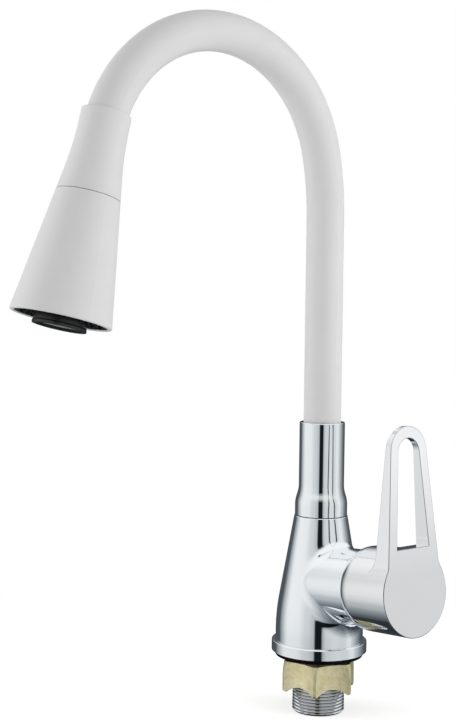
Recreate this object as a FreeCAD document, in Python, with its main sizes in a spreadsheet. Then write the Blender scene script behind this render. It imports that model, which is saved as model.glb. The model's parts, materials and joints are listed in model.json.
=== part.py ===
import FreeCAD, Part
import math
import os
import Sketcher
from FreeCAD import Placement, Rotation, Vector

# Kitchen mixer tap with a swivelling hose spout, a two-part spray head and a side lever.
# Millimetres. +Z is up, the origin is on the tap's axis at the deck, under the base gasket.
# The spout reaches along -Y and the lever's boss points along +X, tilted up a little.

doc = FreeCAD.newDocument("MixerTap")
sheet = doc.addObject("Spreadsheet::Sheet", "Sizes")
sheet_rows = iter(range(1, 400))

# Two shapes closer than this count as touching.
TOUCH = 0.01

# How far a cutting tool passes the surface that it opens.
OVER = 1.0

# Copies in the patterns whose number is part of the design.
WINGS = 6
SPIGOT_RINGS = 2


class Size:
    """A length or an angle: its value now, and the expression that binds it to the sheet."""

    def __init__(self, value, text):
        self.value = value
        self.text = text

    def joined(self, sign, other, value):
        return Size(value, "(%s %s %s)" % (self.text, sign, other.text))

    def __add__(self, other):
        other = as_size(other)
        return self.joined("+", other, self.value + other.value)

    def __sub__(self, other):
        other = as_size(other)
        return self.joined("-", other, self.value - other.value)

    def __mul__(self, other):
        other = as_size(other)
        return self.joined("*", other, self.value * other.value)

    def __truediv__(self, other):
        other = as_size(other)
        return self.joined("/", other, self.value / other.value)

    def __neg__(self):
        return Size(-self.value, "(0 - %s)" % self.text)


def as_size(number):
    if isinstance(number, Size):
        return number
    return Size(float(number), repr(float(number)))


def sine(angle):
    return Size(math.sin(math.radians(angle.value)), "sin(%s)" % angle.text)


def cosine(angle):
    return Size(math.cos(math.radians(angle.value)), "cos(%s)" % angle.text)


def tangent(angle):
    return Size(math.tan(math.radians(angle.value)), "tan(%s)" % angle.text)


def size(alias, value, meaning):
    """One row of the sheet: meaning, number and alias."""
    row = next(sheet_rows)
    sheet.set("A%d" % row, meaning)
    sheet.set("B%d" % row, repr(float(value)))
    sheet.setAlias("B%d" % row, alias)
    return Size(float(value), "Sizes." + alias)


# Base: gasket, ring, shank and lock nut
gasket_radius = size("gasket_radius", 27.7, "outer radius of the base gasket")
gasket_drop = size("gasket_drop", 3.0, "height of the gasket that shows under the ring")
gasket_recess = size("gasket_recess", 1.0, "depth of the gasket's seat in the ring")
ring_radius = size("ring_radius", 30.2, "outer radius of the base ring")
ring_height = size("ring_height", 6.6, "height of the base ring")
ring_rounding = size("ring_rounding", 0.6, "rounding of the ring's top edge")
shank_radius = size("shank_radius", 16.5, "crest radius of the threaded shank")
shank_bore = size("shank_bore", 12.5, "bore radius of the shank")
shank_drop = size("shank_drop", 36.2, "length of the shank below the deck plane")
shank_grip = size("shank_grip", 15.0, "length of the shank screwed into the body")
shank_gap = size("shank_gap", 0.4, "gap between the shank and the ring and gasket round it")
thread_pitch = size("thread_pitch", 2.0, "pitch of the shank's thread")
thread_depth = size("thread_depth", 1.0, "depth of the shank's thread")
thread_turns = size("thread_turns", 17, "turns of thread below the deck")
end_chamfer = size("end_chamfer", 1.2, "chamfer at the shank's lower end")
thread_fit = size("thread_fit", 0.06, "radial clearance at screwed joints")
nut_top = size("nut_top", 3.0, "depth of the lock nut's top below the deck plane")
nut_height = size("nut_height", 19.6, "height of the lock nut")
nut_tip_radius = size("nut_tip_radius", 24.6, "radius of the nut's six wings")
nut_waist_radius = size("nut_waist_radius", 19.6, "radius of the nut between two wings")
nut_wing_width = size("nut_wing_width", 1.6, "width of a wing at its tip")
nut_turn = size("nut_turn", 12.2, "angle from the boss's side to the nut's first wing")
nut_scallop = size("nut_scallop", 4.2, "rise of the lower edge between two wings")
nut_scallop_radius = size("nut_scallop_radius", 16.0, "radius of the scallops")
nut_shoulder = size("nut_shoulder", 1.5, "draw-in of the wings at the nut's top")
nut_flank = size("nut_flank", 9.0, "height over which the wings draw in")

# Column: the tap's body
foot_radius = size("foot_radius", 27.75, "radius of the column's foot")
foot_land = size("foot_land", 5.5, "straight height at the column's foot")
foot_arc = size("foot_arc", 132.0, "radius of the arc above the foot")
foot_chamfer = size("foot_chamfer", 0.5, "chamfer at the foot's lower edge")
column_taper = size("column_taper", 9.84, "angle of the column's side to its axis")
column_top = size("column_top", 89.1, "height of the column's top above the deck")
rim_chamfer = size("rim_chamfer", 0.3, "chamfer at the rims that meet at a seam")
inlet_radius = size("inlet_radius", 4.5, "radius of the two threaded inlet holes")
inlet_depth = size("inlet_depth", 11.0, "depth of the inlet holes")
inlet_spread = size("inlet_spread", 6.5, "distance of each inlet hole from the axis")
channel_radius = size("channel_radius", 3.0, "radius of the water channels")
outlet_radius = size("outlet_radius", 3.4, "radius of the cartridge's outlet port")

# Boss for the cartridge
boss_axis_height = size("boss_axis_height", 46.5, "height at which the boss's axis crosses the tap's")
boss_tilt = size("boss_tilt", 5.1, "upward tilt of the boss")
boss_radius = size("boss_radius", 22.7, "outer radius of the boss")
boss_reach = size("boss_reach", 45.0, "distance of the boss's end along its axis")
boss_root_margin = size("boss_root_margin", 2.2, "distance of the boss's root inside the column's side")
boss_swell = size("boss_swell", 14.0, "length over which the boss swells to its full radius")
boss_blend = size("boss_blend", 12.5, "fillet between the boss and the column's sides and foot")
boss_blend_top = size("boss_blend_top", 4.5, "fillet in the corner over the boss")
boss_edge = size("boss_edge", 0.6, "rounding of the boss's end")
pocket_depth = size("pocket_depth", 41.0, "depth of the cartridge pocket in the boss")
seal_height = size("seal_height", 1.0, "height of the port seals")
seal_wire = size("seal_wire", 1.3, "width of a port seal")
port_drop = size("port_drop", 5.0, "distance of the inlet ports below the boss's axis")
port_rise = size("port_rise", 8.0, "distance of the outlet port above the boss's axis")

# Cartridge
cartridge_radius = size("cartridge_radius", 17.5, "outer radius of the cartridge")
cartridge_fit = size("cartridge_fit", 0.1, "radial clearance of the cartridge in its pocket")
base_height = size("base_height", 5.0, "height of the cartridge's base")
fixed_disc_radius = size("fixed_disc_radius", 14.4, "radius of the fixed ceramic disc")
fixed_disc_height = size("fixed_disc_height", 4.5, "thickness of the fixed ceramic disc")
moving_disc_radius = size("moving_disc_radius", 10.6, "radius of the moving ceramic disc")
moving_disc_height = size("moving_disc_height", 4.0, "thickness of the moving ceramic disc")
disc_travel = size("disc_travel", 4.1, "travel of the moving disc")
chamber_depth = size("chamber_depth", 1.6, "depth of the mixing chamber in the moving disc")
chamber_radius = size("chamber_radius", 7.6, "radius of the mixing chamber")
driver_height = size("driver_height", 8.0, "height of the disc driver")
face_gap = size("face_gap", 0.05, "gap between faces that slide on each other")
housing_wall = size("housing_wall", 2.8, "wall of the cartridge's housing")
cartridge_length = size("cartridge_length", 32.0, "length of the cartridge from base to housing end")
housing_lip = size("housing_lip", 2.7, "thickness of the housing's end lip")
carrier_flange = size("carrier_flange", 5.0, "thickness of the stem carrier's flange")
carrier_neck = size("carrier_neck", 10.5, "radius of the stem carrier's neck")
carrier_proud = size("carrier_proud", 8.0, "length of the stem carrier's neck outside the housing")
running_gap = size("running_gap", 0.3, "gap between parts that turn past each other")
bearing_fit = size("bearing_fit", 0.08, "radial clearance at turning fits")
pivot_offset = size("pivot_offset", 2.0, "distance of the lever's pivot pin outside the housing")
pin_radius = size("pin_radius", 1.5, "radius of the pivot pin")
retainer_radius = size("retainer_radius", 20.0, "outer radius of the cartridge nut")
retainer_height = size("retainer_height", 8.5, "height of the cartridge nut")
retainer_slot = size("retainer_slot", 4.0, "width of the cartridge nut's key slots")
retainer_slot_depth = size("retainer_slot_depth", 3.0, "depth of the cartridge nut's key slots")

# Lever
stem_side = size("stem_side", 6.5, "side of the square stem")
stem_cover = size("stem_cover", 10.7, "distance of the stem's outer end behind the lever's front")
ball_offset = size("ball_offset", 0.45, "distance of the stem ball's centre outside the disc driver")
ball_radius = size("ball_radius", 3.2, "radius of the stem's ball")
ball_gap = size("ball_gap", 0.15, "radial clearance round the ball")
ball_neck = size("ball_neck", 2.2, "radius of the stem's neck above the ball")
lift_angle = size("lift_angle", 20.0, "lift of the lever from closed to fully open")
seam_gap = size("seam_gap", 0.35, "gap of the visible seams between moving pieces")
skirt_radius = size("skirt_radius", 25.9, "outer radius of the lever's skirt")
skirt_draw = size("skirt_draw", 1.1, "draw-in of the skirt's outside towards the seam")
skirt_flank = size("skirt_flank", 5.5, "length over which the skirt draws in")
skirt_gap = size("skirt_gap", 0.4, "radial gap between the boss and the skirt that passes over it")
skirt_depth = size("skirt_depth", 12.0, "depth of the skirt's hollow")
skirt_edge = size("skirt_edge", 0.3, "rounding of the skirt's rim")
disc_radius = size("disc_radius", 26.45, "radius of the lever's round front")
hub_length = size("hub_length", 38.7, "distance of the lever's front from the boss's end")
front_wall = size("front_wall", 5.5, "thickness of the lever's front wall")
hub_cavity = size("hub_cavity", 21.0, "radius of the cavity behind the front wall")
socket_boss = size("socket_boss", 8.0, "radius of the socket round the stem")
arm_top_radius = size("arm_top_radius", 15.0, "outer radius of the loop's top")
arm_top_centre = size("arm_top_centre", 83.8, "height of the loop's top arc above the boss's axis")
arm_taper = size("arm_taper", 5.2, "angle of the loop's sides to its middle")
arm_blend = size("arm_blend", 9.0, "fillet where the loop meets the round front")
back_blend = size("back_blend", 20.0, "radius of the loop's back where it runs into the hub")
back_blend_top = size("back_blend_top", 25.0, "height above the boss's axis at which that curve starts")
loop_top_thickness = size("loop_top_thickness", 4.9, "thickness of the loop at its top arc's centre")
loop_taper = size("loop_taper", 5.7, "angle between the loop's front and back")
slot_top_radius = size("slot_top_radius", 8.7, "radius of the slot's top")
slot_top_centre = size("slot_top_centre", 82.9, "height of the slot's top arc above the boss's axis")
slot_taper = size("slot_taper", 4.7, "angle of the slot's sides to its middle")
slot_rise = size("slot_rise", 0.2, "height of the slot's foot above the round front")
lever_edge = size("lever_edge", 0.5, "rounding of the lever's edges")
slot_edge = size("slot_edge", 0.4, "rounding of the slot's front edge")
grub_radius = size("grub_radius", 2.5, "radius of the lever's set screw")
grub_length = size("grub_length", 4.5, "length of the set screw")
grub_cover = size("grub_cover", 18.7, "distance of the set screw behind the lever's front")
grub_key = size("grub_key", 1.25, "half width across the flats of a set screw's socket")
plug_height = size("plug_height", 3.0, "height of the plug over the set screw")
plug_sink = size("plug_sink", 0.6, "depth of the plug below the hub's outside")

# Spout foot
washer_height = size("washer_height", 0.8, "thickness of the swivel washer")
washer_recess = size("washer_recess", 0.45, "depth of the washer's seat in the column")
washer_margin = size("washer_margin", 1.3, "distance of the washer's edge from the column's")
sleeve_radius = size("sleeve_radius", 14.3, "outer radius of the spout's sleeve")
sleeve_top = size("sleeve_top", 148.3, "height of the sleeve's top above the deck")
sleeve_bell = size("sleeve_bell", 16.5, "radius of the sleeve's bell")
bell_height = size("bell_height", 6.6, "straight height of the bell")
bell_angle = size("bell_angle", 17.0, "steepest angle of the bell's flare")
bell_arc = size("bell_arc", 18.0, "radius of the flare's two arcs")
sleeve_floor = size("sleeve_floor", 13.0, "height of the sleeve's solid foot")
mouth_gap = size("mouth_gap", 1.1, "radial gap round the hose in the sleeve's mouth")
mouth_depth = size("mouth_depth", 5.0, "depth of the sleeve's mouth")
sleeve_rim = size("sleeve_rim", 0.5, "rounding of the sleeve's top rim")
spigot_radius = size("spigot_radius", 11.1, "radius of the spigot")
spigot_bore = size("spigot_bore", 6.5, "bore radius of the spigot")
spigot_depth = size("spigot_depth", 19.6, "depth of the spigot in the column")
socket_clearance = size("socket_clearance", 0.8, "gap under the spigot")
ring_wire = size("ring_wire", 1.2, "wire radius of the O-rings")
ring_pitch = size("ring_pitch", 5.5, "distance between the two O-rings")
ring_first = size("ring_first", 3.6, "distance of the first O-ring from the spigot's end")
lock_place = size("lock_place", 3.7, "distance of the spout's lock screw below the column's top")
lock_radius = size("lock_radius", 1.5, "radius of the lock screw")
lock_groove = size("lock_groove", 1.5, "depth of the lock screw's groove in the spigot")
lock_key_depth = size("lock_key_depth", 1.5, "depth of the lock screw's socket")

# Hose
hose_radius = size("hose_radius", 11.8, "outer radius of the hose's cover")
hose_wall = size("hose_wall", 2.7, "wall of the hose's cover")
hose_gap = size("hose_gap", 0.15, "radial gap between the hose's layers")
core_wall = size("core_wall", 2.0, "wall of the hose's core")
water_wall = size("water_wall", 1.8, "wall of the water hose")
hose_start = size("hose_start", 110.0, "height of the hose's lower end")
riser_top = size("riser_top", 276.9, "height at which the hose starts to bend")
first_bend = size("first_bend", 176.8, "radius of the hose's first bend")
first_turn = size("first_turn", 13.4, "angle of the first bend")
arch_radius = size("arch_radius", 83.3, "radius of the hose's arch")
head_tilt = size("head_tilt", 14.4, "outward tilt of the spray head")
root_fitting = size("root_fitting", 14.0, "length of the fitting at the hose's lower end")
end_fitting = size("end_fitting", 12.0, "length of the fitting at the hose's upper end")
fitting_lap = size("fitting_lap", 6.0, "length of the water hose inside each fitting")

# Spray head, measured along its own axis up from the rim
head_length = size("head_length", 117.7, "length of the spray head")
collar_length = size("collar_length", 47.5, "length of the collar")
collar_radius = size("collar_radius", 14.1, "radius of the collar's neck")
collar_neck = size("collar_neck", 7.0, "length of the collar's straight neck")
collar_lip = size("collar_lip", 1.0, "rounding of the collar's lip")
head_arc = size("head_arc", 188.0, "radius of the arc under the collar's neck")
head_taper = size("head_taper", 8.5, "angle of the head's side to its axis")
head_wall = size("head_wall", 2.6, "wall of the head's shells")
hose_seat = size("hose_seat", 9.5, "depth to which the hose enters the collar")
rim_rounding = size("rim_rounding", 0.8, "rounding of the head's rim")
shell_neck = size("shell_neck", 8.0, "length of the shell's neck inside the collar")
neck_wall = size("neck_wall", 2.3, "wall of the shell's neck")
neck_gap = size("neck_gap", 1.05, "radial gap between the shell's neck and the waterway")
face_recess = size("face_recess", 0.6, "depth of the spray face behind the rim")
face_height = size("face_height", 4.0, "thickness of the spray face")
nozzle_radius = size("nozzle_radius", 0.7, "radius of a nozzle")
nozzle_tip = size("nozzle_tip", 0.56, "radius of a nozzle's tip")
nozzle_height = size("nozzle_height", 0.5, "height of a nozzle")
nozzle_hole = size("nozzle_hole", 0.3, "radius of a nozzle's hole")
inner_nozzles = size("inner_nozzles", 20, "nozzles in the inner ring")
outer_nozzles = size("outer_nozzles", 26, "nozzles in the outer ring")
inner_nozzle_ring = size("inner_nozzle_ring", 17.8, "radius of the inner ring of nozzles")
outer_nozzle_ring = size("outer_nozzle_ring", 22.0, "radius of the outer ring of nozzles")
aerator_radius = size("aerator_radius", 14.8, "outer radius of the aerator's housing")
aerator_wall = size("aerator_wall", 2.4, "wall of the aerator's housing")
aerator_proud = size("aerator_proud", 4.3, "height of the aerator's housing below the rim")
aerator_height = size("aerator_height", 15.0, "height of the aerator's housing")
aerator_lip = size("aerator_lip", 0.7, "lip at the aerator's mouth")
insert_recess = size("insert_recess", 1.6, "depth of the aerator's insert in its housing")
insert_height = size("insert_height", 6.0, "height of the aerator's insert")
insert_hole = size("insert_hole", 0.85, "radius of a hole in the insert")
insert_pitch = size("insert_pitch", 2.6, "distance between the insert's rings of holes")
insert_rings = size("insert_rings", 4, "rings of holes in the insert")
diverter_land = size("diverter_land", 2.0, "straight height of the diverter's foot")
waterway_radius = size("waterway_radius", 9.6, "radius of the head's inner waterway")
waterway_foot = size("waterway_foot", 22.0, "distance of the waterway's lower end from the rim")
waterway_top = size("waterway_top", 4.0, "height of the waterway's top flange")
doc.recompute()


def bind(item, path, amount):
    """Ties one property of an object to the sheet."""
    item.setExpression(path, as_size(amount).text)


def sketch_on(body, name, role):
    """A new sketch on one of the body's own origin planes."""
    sketch = body.newObject("Sketcher::SketchObject", name)
    plane = [item for item in body.Origin.OriginFeatures if item.Role == role][0]
    sketch.AttachmentSupport = [(plane, "")]
    sketch.MapMode = "FlatFace"
    return sketch


def arc_between(start, end, radius):
    """The shorter arc, which bulges to the right of the way from start to end."""
    middle = (start + end) * 0.5
    along = end - start
    half = along.Length / 2
    side = Vector(along.y, -along.x, 0).normalize()
    rise = radius - math.sqrt(radius * radius - half * half)
    return Part.Arc(start, middle + side * rise, end)


def hold_point(sketch, edge, end, place):
    """Fixes one end of an edge at its place, bound to the sheet."""
    for kind, amount in (("DistanceX", place[0]), ("DistanceY", place[1])):
        number = sketch.addConstraint(Sketcher.Constraint(kind, -1, 1, edge, end, amount.value))
        sketch.setExpression("Constraints[%d]" % number, amount.text)


def draw_outline(sketch, corners, closed=True):
    """Lines and arcs through the corners. A corner's third value is the radius of the arc to it,
    positive where the arc bulges to the right of the way."""
    places = [tuple(as_size(value) for value in corner) for corner in corners]
    pairs = list(zip(places, places[1:] + places[:1]))
    if not closed:
        pairs = pairs[:-1]
    ends = []
    for start, end in pairs:
        first = Vector(start[0].value, start[1].value, 0)
        second = Vector(end[0].value, end[1].value, 0)
        if len(end) == 2:
            edge = sketch.addGeometry(Part.LineSegment(first, second), False)
            ends.append((edge, 1, 2))
            continue
        forward = end[2].value > 0
        radius = end[2] if forward else -end[2]
        if forward:
            edge = sketch.addGeometry(arc_between(first, second, radius.value), False)
            ends.append((edge, 1, 2))
        else:
            edge = sketch.addGeometry(arc_between(second, first, radius.value), False)
            ends.append((edge, 2, 1))
        number = sketch.addConstraint(Sketcher.Constraint("Radius", edge, radius.value))
        sketch.setExpression("Constraints[%d]" % number, radius.text)
    for index, (edge, head, tail) in enumerate(ends):
        hold_point(sketch, edge, head, pairs[index][0])
        if index + 1 < len(ends) or closed:
            following = ends[(index + 1) % len(ends)]
            sketch.addConstraint(Sketcher.Constraint("Coincident", edge, tail, following[0], following[1]))
        else:
            hold_point(sketch, edge, tail, pairs[index][1])
    return sketch


def turned(label, corners):
    """A body turned about Z from an outline of radius and height."""
    body = doc.addObject("PartDesign::Body", label)
    sketch = sketch_on(body, label + "_outline", "XZ_Plane")
    draw_outline(sketch, corners)
    turn = body.newObject("PartDesign::Revolution", label + "_turn")
    turn.Profile = sketch
    turn.ReferenceAxis = (sketch, ["V_Axis"])
    turn.Angle = 360
    return body


def ring(label, inner, outer, low, high):
    """A plain ring, turned about Z."""
    return turned(label, [(inner, low), (outer, low), (outer, high), (inner, high)])


def plate(label, corners, low, high):
    """A body padded up from low to high from an outline in the XY plane."""
    body = doc.addObject("PartDesign::Body", label)
    sketch = sketch_on(body, label + "_outline", "XY_Plane")
    bind(sketch, "AttachmentOffset.Base.z", low)
    draw_outline(sketch, corners)
    pad = body.newObject("PartDesign::Pad", label + "_pad")
    pad.Profile = sketch
    bind(pad, "Length", as_size(high) - low)
    return body


def rod(label, radius, low, high, place=(0, 0), turn=None):
    """A cylinder along Z, or along the axis that turn swings Z to; place is its axis's X and Y."""
    item = doc.addObject("Part::Cylinder", label)
    bind(item, "Radius", radius)
    bind(item, "Height", as_size(high) - low)
    if turn:
        item.Placement = Placement(Vector(), turn)
    bind(item, "Placement.Base.x", place[0])
    bind(item, "Placement.Base.y", place[1])
    bind(item, "Placement.Base.z", low)
    return item


def fused(label, pieces):
    item = doc.addObject("Part::MultiFuse", label)
    item.Shapes = pieces
    return item


def cut(label, base, tools):
    """The base without the tools."""
    item = doc.addObject("Part::Cut", label)
    item.Base = base
    item.Tool = tools[0] if len(tools) == 1 else fused(label + "_tools", tools)
    return item


def common(label, first, second):
    item = doc.addObject("Part::Common", label)
    item.Base = first
    item.Tool = second
    return item


def filleted(label, base, radius, wanted):
    """Rounds the edges of the base that wanted() picks."""
    doc.recompute()
    numbers = [index + 1 for index, edge in enumerate(base.Shape.Edges) if wanted(edge)]
    item = doc.addObject("Part::Fillet", label)
    item.Base = base
    item.Edges = [(number, radius.value, radius.value) for number in numbers]
    return item


def on_boss(item):
    """Lays a piece that was built along Z on the boss's axis. Its -X side then faces up."""
    item.Placement = Placement(Vector(), Rotation(Vector(0, 1, 0), 90 - boss_tilt.value))
    bind(item, "Placement.Base.z", boss_axis_height)
    bind(item, "Placement.Rotation.Angle", as_size(90) - boss_tilt)
    return item


arch_middle = as_size(90)
head_turn = as_size(180) - head_tilt
arch_start_reach = first_bend * (as_size(1) - cosine(first_turn))
arch_start_height = riser_top + first_bend * sine(first_turn)
hose_end_reach = arch_start_reach + arch_radius * (cosine(first_turn) - cosine(head_turn))
hose_end_height = arch_start_height + arch_radius * (sine(head_turn) - sine(first_turn))
hose_end_place = head_length - hose_seat
head_reach = hose_end_reach + hose_end_place * sine(head_tilt)
head_height = hose_end_height - hose_end_place * cosine(head_tilt)


def on_head(item):
    """Lays a piece that was built along Z, from the rim upwards, on the spray head's axis."""
    item.Placement = Placement(Vector(), Rotation(Vector(-1, 0, 0), head_tilt.value))
    bind(item, "Placement.Base.y", -head_reach)
    bind(item, "Placement.Base.z", head_height)
    bind(item, "Placement.Rotation.Angle", head_tilt)
    return item


def swept(label, radii, start, tail=None):
    """A rod, or a tube with two radii, along the hose's way: riser, first bend, arch and, with a tail,
    on into the head."""
    body = doc.addObject("PartDesign::Body", label)
    spine = sketch_on(body, label + "_way", "YZ_Plane")
    way = [
        (0, start),
        (0, riser_top),
        (-arch_start_reach, arch_start_height, first_bend),
        (-arch_radius * (cosine(first_turn) - cosine(arch_middle)) - arch_start_reach,
         arch_start_height + arch_radius * (sine(arch_middle) - sine(first_turn)), arch_radius),
        (-hose_end_reach, hose_end_height, arch_radius),
    ]
    if tail:
        tail_reach = hose_end_reach + tail * sine(head_tilt)
        tail_height = hose_end_height - tail * cosine(head_tilt)
        way.append((-tail_reach, tail_height))
    draw_outline(spine, way, closed=False)
    section = sketch_on(body, label + "_section", "XY_Plane")
    bind(section, "AttachmentOffset.Base.z", start)
    for radius in radii:
        circle = section.addGeometry(Part.Circle(Vector(), Vector(0, 0, 1), as_size(radius).value), False)
        section.addConstraint(Sketcher.Constraint("Coincident", circle, 3, -1, 1))
        number = section.addConstraint(Sketcher.Constraint("Radius", circle, as_size(radius).value))
        section.setExpression("Constraints[%d]" % number, as_size(radius).text)
    pipe = body.newObject("PartDesign::AdditivePipe", label + "_pipe")
    pipe.Profile = section
    pipe.Spine = (spine, ["Edge%d" % (index + 1) for index in range(len(spine.Geometry))])
    return body


# Base
ring_bottom = gasket_drop
ring_top = gasket_drop + ring_height
around_shank = shank_radius + shank_gap


def make_base_gasket():
    return ring("base_gasket", around_shank, gasket_radius, 0, ring_bottom + gasket_recess)


def make_base_ring():
    recess_radius = gasket_radius + shank_gap
    return turned("base_ring", [
        (around_shank, ring_bottom + gasket_recess),
        (recess_radius, ring_bottom + gasket_recess),
        (recess_radius, ring_bottom),
        (ring_radius, ring_bottom),
        (ring_radius, ring_top - ring_rounding),
        (ring_radius - ring_rounding, ring_top, ring_rounding),
        (around_shank, ring_top),
    ])


def make_mounting_shank():
    """The thread is cut as rings one pitch apart, with flat crests an eighth of the pitch wide."""
    shank = turned("shank_tube", [
        (shank_bore, -shank_drop),
        (shank_radius - end_chamfer, -shank_drop),
        (shank_radius, end_chamfer - shank_drop),
        (shank_radius, ring_top + shank_grip),
        (shank_bore, ring_top + shank_grip),
    ])
    crest = thread_pitch / 8
    half = (thread_pitch - crest) / 2
    middle = end_chamfer - shank_drop + crest / 2 + half
    reach = half * (as_size(1) + crest / thread_depth)
    tooth = turned("shank_thread_groove", [
        (shank_radius + crest, middle - reach),
        (shank_radius - thread_depth, middle),
        (shank_radius + crest, middle + reach),
    ])
    doc.recompute()
    grooves = []
    for turn in range(int(thread_turns.value)):
        groove = tooth.Shape.copy()
        groove.translate(Vector(0, 0, turn * thread_pitch.value))
        grooves.append(groove)
    thread = doc.addObject("Part::Feature", "shank_thread")
    thread.Shape = Part.makeCompound(grooves)
    return cut("mounting_shank", shank, [thread])


def make_lock_nut():
    """A cast nut with six wings and hollow sides, scalloped between the wings underneath."""
    top = -nut_top
    bottom = top - nut_height
    half_wing = nut_wing_width / 2
    half_step = as_size(180.0 / WINGS)
    half_chord = nut_tip_radius * sine(half_step) - half_wing * cosine(half_step)
    sag = nut_tip_radius * cosine(half_step) + half_wing * sine(half_step) - nut_waist_radius
    hollow = (half_chord * half_chord + sag * sag) / (sag * 2)
    corners = []
    for index in range(WINGS):
        turn = nut_turn + half_step * (2 * index)
        tip = (nut_tip_radius * cosine(turn), nut_tip_radius * sine(turn))
        across = (half_wing * sine(turn), half_wing * cosine(turn))
        corners.append((tip[0] + across[0], tip[1] - across[1], -hollow))
        corners.append((tip[0] - across[0], tip[1] + across[1]))
    star = plate("nut_star", corners, bottom, top)
    bore = shank_radius + thread_fit
    round_tips = nut_tip_radius + half_wing * half_wing / nut_tip_radius
    flank_arc = (nut_flank * nut_flank + nut_shoulder * nut_shoulder) / (nut_shoulder * 2)
    envelope = turned("nut_envelope", [
        (bore, bottom),
        (round_tips - nut_shoulder, bottom),
        (round_tips, bottom + nut_shoulder, nut_shoulder * 2),
        (round_tips, top - nut_flank),
        (round_tips - nut_shoulder, top, flank_arc),
        (bore, top),
    ])
    body = common("nut_body", star, envelope)
    scallop = rod("nut_scallop_cutter", nut_scallop_radius, 0, nut_tip_radius + OVER,
                  turn=Rotation(Vector(0, 1, 0), 90))
    bind(scallop, "Placement.Base.z", bottom + nut_scallop - nut_scallop_radius)
    doc.recompute()
    copies = []
    for index in range(WINGS):
        copy = scallop.Shape.copy()
        copy.rotate(Vector(), Vector(0, 0, 1), nut_turn.value + half_step.value * (2 * index + 1))
        copies.append(copy)
    scallops = doc.addObject("Part::Feature", "nut_scallops")
    scallops.Shape = Part.makeCompound(copies)
    return cut("lock_nut", body, [scallops])


def boss_point(along, up, side):
    """A point of the boss's frame as three sizes of the tap's frame."""
    along, up = as_size(along), as_size(up)
    return (
        along * cosine(boss_tilt) - up * sine(boss_tilt),
        as_size(side),
        boss_axis_height + along * sine(boss_tilt) + up * cosine(boss_tilt),
    )


def place_at(item, point, turn):
    """Puts a piece at a point, swung by a rotation."""
    item.Placement = Placement(Vector(), turn)
    for axis, amount in zip("xyz", point):
        bind(item, "Placement.Base." + axis, amount)
    return item


def boss_rod(label, radius, low, high, up=0, side=0):
    """A cylinder along the boss."""
    item = rod(label, radius, low, high)
    place_at(item, boss_point(low, up, side), Rotation(Vector(0, 1, 0), 90 - boss_tilt.value))
    bind(item, "Placement.Rotation.Angle", as_size(90) - boss_tilt)
    return item


def boss_block(label, along, up, side):
    """A box in the boss's frame, from pairs of low and high values."""
    item = doc.addObject("Part::Box", label)
    bind(item, "Length", as_size(up[1]) - up[0])
    bind(item, "Width", as_size(side[1]) - side[0])
    bind(item, "Height", as_size(along[1]) - along[0])
    place_at(item, boss_point(along[0], up[1], side[0]), Rotation(Vector(0, 1, 0), 90 - boss_tilt.value))
    bind(item, "Placement.Rotation.Angle", as_size(90) - boss_tilt)
    return item


def under_rod(label, radius, low, high, along):
    """A cylinder under the boss's axis, square to it, from one depth to a greater one."""
    item = rod(label, radius, low, high)
    place_at(item, boss_point(along, -as_size(low), 0), Rotation(Vector(0, 1, 0), 180 - boss_tilt.value))
    bind(item, "Placement.Rotation.Angle", as_size(180) - boss_tilt)
    return item


def side_prism(label, corners, width):
    """A body padded both ways from the XZ plane."""
    body = doc.addObject("PartDesign::Body", label)
    sketch = sketch_on(body, label + "_outline", "XZ_Plane")
    draw_outline(sketch, corners)
    pad = body.newObject("PartDesign::Pad", label + "_pad")
    pad.Profile = sketch
    pad.SideType = "Symmetric"
    bind(pad, "Length", width)
    return body


# Column
foot_arc_top = ring_top + foot_land + foot_arc * sine(column_taper)
foot_arc_radius = foot_radius - foot_arc * (as_size(1) - cosine(column_taper))
column_rim = foot_arc_radius - tangent(column_taper) * (column_top - foot_arc_top)
side_at_boss = (column_rim + tangent(column_taper) * (column_top - boss_axis_height)) * cosine(column_taper)
boss_root = side_at_boss - boss_root_margin
shank_end = ring_top + shank_grip
socket_floor = column_top - spigot_depth - socket_clearance
socket_radius = spigot_radius + bearing_fit
washer_radius = column_rim - washer_margin
sleeve_foot = column_top - washer_recess + washer_height
cartridge_pocket = cartridge_radius + cartridge_fit
lock_height = column_top - lock_place
lock_inner = spigot_radius - lock_groove + running_gap


def blended_casting(joined):
    """The blend between boss and column is even at the sides and tightens in the corner over the boss.
    It is made on one half, where the junction has two ends, and mirrored."""
    room = doc.addObject("Part::Box", "half_room")
    bind(room, "Length", foot_radius + boss_reach + OVER * 2)
    bind(room, "Width", foot_radius + OVER)
    bind(room, "Height", column_top + OVER)
    bind(room, "Placement.Base.x", -(foot_radius + OVER))
    half = common("half_casting", joined, room)
    doc.recompute()
    junction = [(index + 1, edge) for index, edge in enumerate(half.Shape.Edges)
                if edge.Curve.TypeId not in ("Part::GeomLine", "Part::GeomCircle")
                and edge.BoundBox.YMax > TOUCH]
    number, corner = max(junction, key=lambda item: item[1].BoundBox.ZMax)
    ends = [boss_blend.value, boss_blend_top.value]
    if corner.valueAt(corner.FirstParameter).z > corner.valueAt(corner.LastParameter).z:
        ends.reverse()
    blend = doc.addObject("Part::Fillet", "blended_half")
    blend.Base = half
    blend.Edges = [(number, ends[0], ends[1])]
    other = doc.addObject("Part::Mirroring", "other_half")
    other.Source = blend
    other.Normal = Vector(0, 1, 0)
    return fused("body_casting", [blend, other])


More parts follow.
